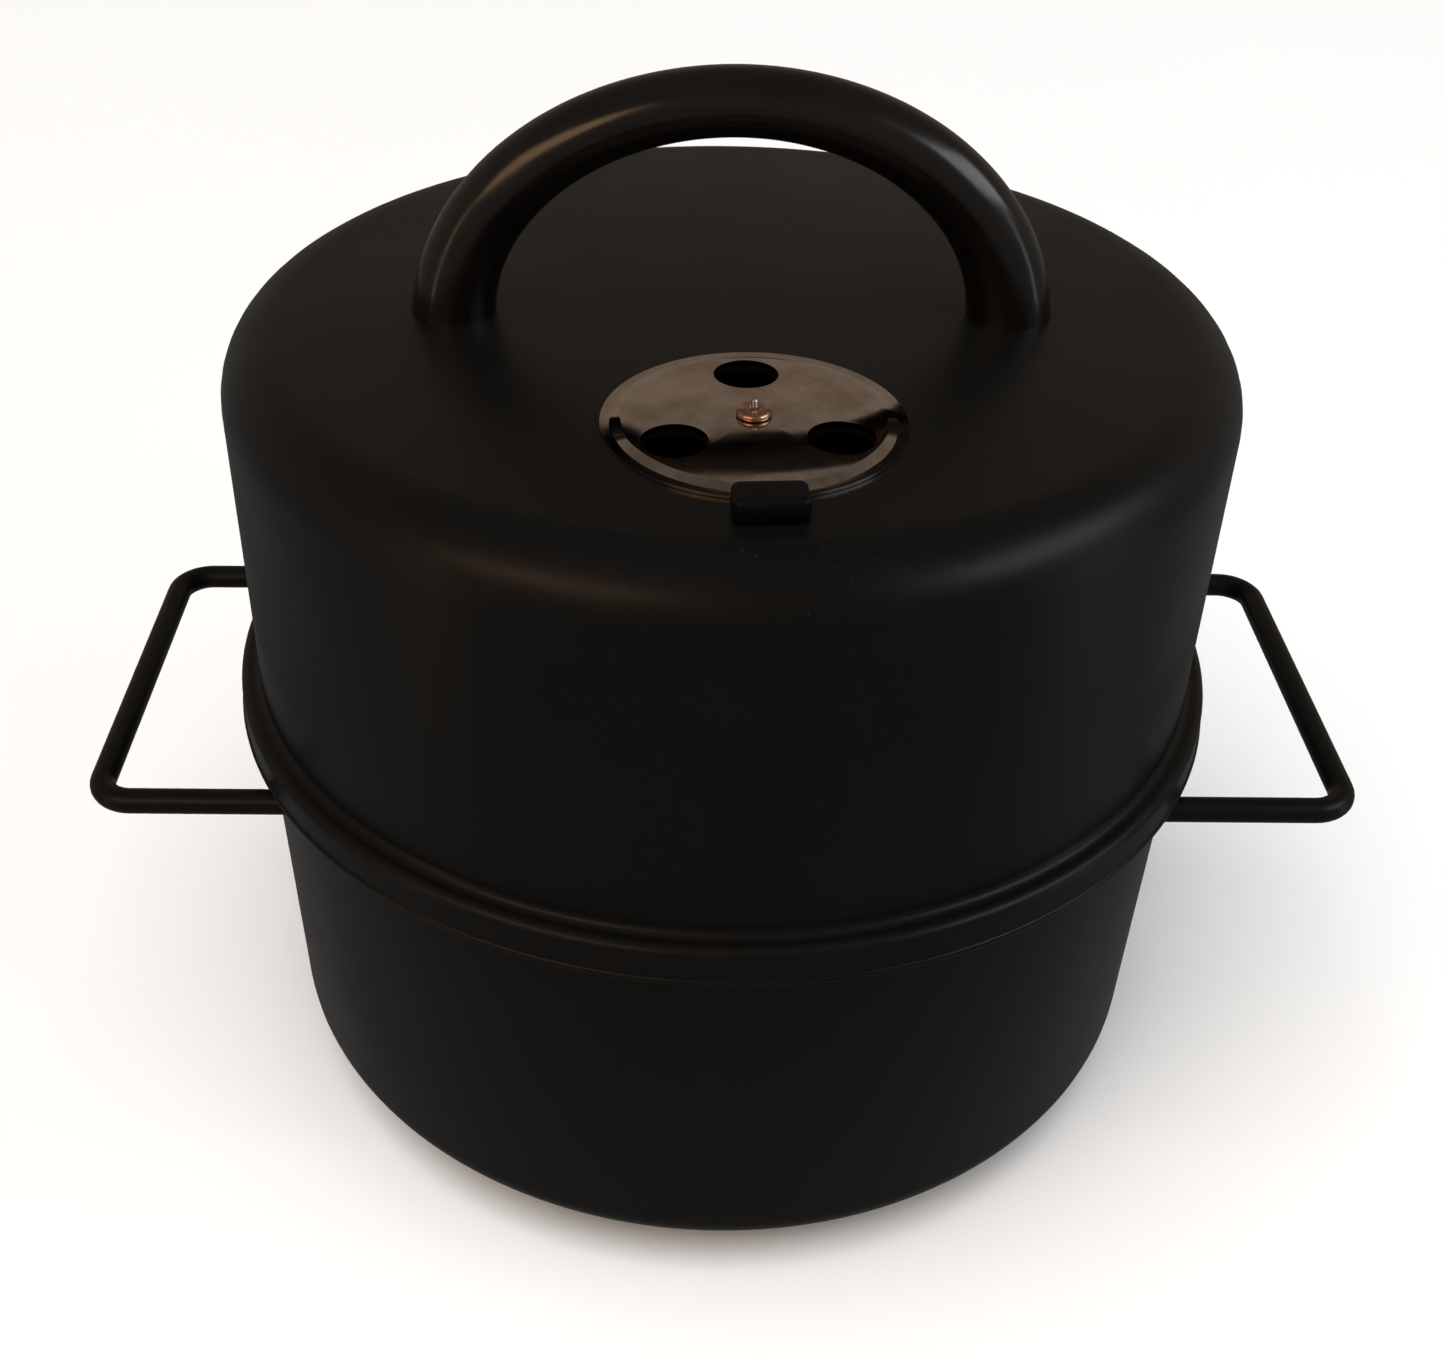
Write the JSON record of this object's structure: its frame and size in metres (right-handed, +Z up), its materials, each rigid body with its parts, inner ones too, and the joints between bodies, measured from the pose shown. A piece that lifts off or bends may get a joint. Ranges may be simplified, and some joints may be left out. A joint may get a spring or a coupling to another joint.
{
  "type": "vertical water smoker",
  "caption": "Compact round charcoal water smoker: a pot with wire side handles under a deep lid with an arch handle and a turning vent, holding grates and a water pan.",
  "frame": {"origin": "on the ground plane, on the pot's axis", "axes": "+Z up, +X towards the right side handle and along the arch handle, -Y towards the lid's vent"},
  "size_m": [0.3726, 0.2936, 0.3086],
  "materials": {
    "black_paint": "satin heat-resistant black paint with a fine orange-peel grain",
    "handle_phenolic": "polished moulded phenolic",
    "grip_plastic": "satin moulded cap",
    "polished_steel": "pressed and polished stainless steel",
    "rivet_copper": "copper-plated rivet, lightly tarnished",
    "insert_brass": "turned brass",
    "zinc_steel": "zinc-plated steel",
    "plated_wire": "nickel-plated wire, welded",
    "pan_enamel": "glossy vitreous enamel"
  },
  "bodies": {
    "pot": {"base_pot": "black_paint", "foot_rear": "black_paint", "foot_front_left": "black_paint", "foot_front_right": "black_paint", "foot_screws": "zinc_steel", "side_handle_left": "black_paint", "side_handle_right": "black_paint", "handle_weld_beads": "black_paint", "support_bracket_1": "black_paint", "support_bracket_2": "black_paint", "support_bracket_3": "black_paint", "base_damper_rivet": "rivet_copper", "base_damper_mandrel": "zinc_steel", "base_damper_washer": "zinc_steel"},
    "base_damper": {"base_damper_disc": "polished_steel", "base_damper_grip": "grip_plastic"},
    "charcoal_stage": {"charcoal_grate": "plated_wire"},
    "water_stage": {"water_pan": "pan_enamel"},
    "cooking_stage": {"cooking_grate": "plated_wire"},
    "lid": {"lid_shell": "black_paint", "lid_handle": "handle_phenolic", "lid_handle_inserts": "insert_brass", "lid_handle_washers": "zinc_steel", "lid_handle_screws": "zinc_steel", "lid_damper_rivet": "rivet_copper", "lid_damper_mandrel": "zinc_steel", "lid_damper_washer": "zinc_steel"},
    "lid_damper": {"lid_damper_disc": "polished_steel", "lid_damper_grip": "grip_plastic"}
  },
  "joints": [
    {"name": "charcoal_grate_lift", "type": "slide", "parent": "pot", "child": "charcoal_stage", "axis": [0, 0, 1], "range_m": [0, 0.13]},
    {"name": "water_pan_lift", "type": "slide", "parent": "charcoal_stage", "child": "water_stage", "axis": [0, 0, 1], "range_m": [0, 0.09]},
    {"name": "cooking_grate_lift", "type": "slide", "parent": "water_stage", "child": "cooking_stage", "axis": [0, 0, 1], "range_m": [0, 0.09]},
    {"name": "lid_lift", "type": "slide", "parent": "cooking_stage", "child": "lid", "axis": [0, 0, 1], "range_m": [0, 0.14]},
    {"name": "lid_damper_turn", "type": "hinge", "parent": "lid", "child": "lid_damper", "pos_m": [0.0039, -0.0695, 0.2441], "axis": [0, 0, 1], "continuous": true},
    {"name": "base_damper_turn", "type": "hinge", "parent": "pot", "child": "base_damper", "pos_m": [0, 0, 0.014], "axis": [0, 0, 1], "continuous": true}
  ]
}
